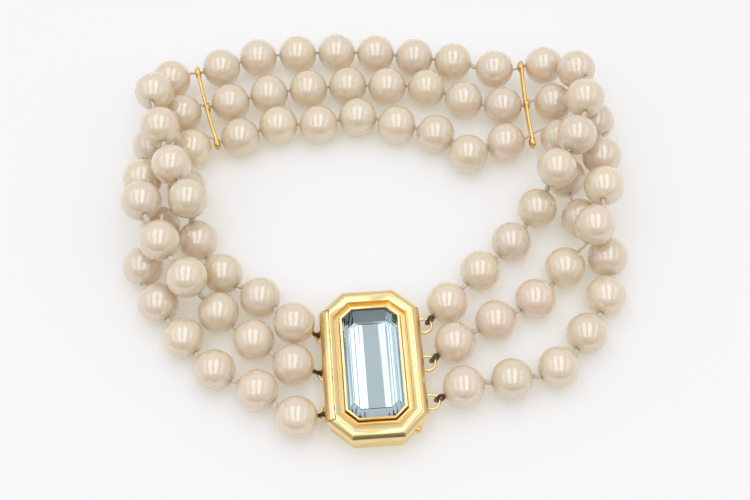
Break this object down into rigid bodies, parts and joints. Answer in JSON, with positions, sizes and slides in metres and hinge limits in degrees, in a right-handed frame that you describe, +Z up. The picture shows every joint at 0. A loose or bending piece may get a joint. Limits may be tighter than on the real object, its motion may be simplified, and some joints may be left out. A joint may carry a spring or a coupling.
{
  "type": "pearl bracelet",
  "caption": "Closed multi-strand pearl bracelet with gold spacer bars and an octagonal gold box clasp set with a step-cut pale blue stone, lying flat.",
  "frame": {"origin": "on the table, under the middle of the bracelet's bounding box", "axes": "+Z up from the table, +Y from the clasp across the loop to the back, +X to the right seen from the clasp's side"},
  "size_m": [0.0816, 0.0764, 0.0136],
  "materials": {
    "clasp_gold": "polished gold with light scratches",
    "spacer_gold": "polished gold",
    "stone": "clear pale blue, polished facets",
    "pearl": "cream pearl lustre"
  },
  "bodies": {
    "root": {"clasp_box": "clasp_gold", "clasp_tongue": "clasp_gold", "aquamarine": "stone", "strand_upper": "pearl", "strand_middle": "pearl", "strand_lower": "pearl", "spacer_left": "spacer_gold", "spacer_right": "spacer_gold"}
  },
  "joints": []
}
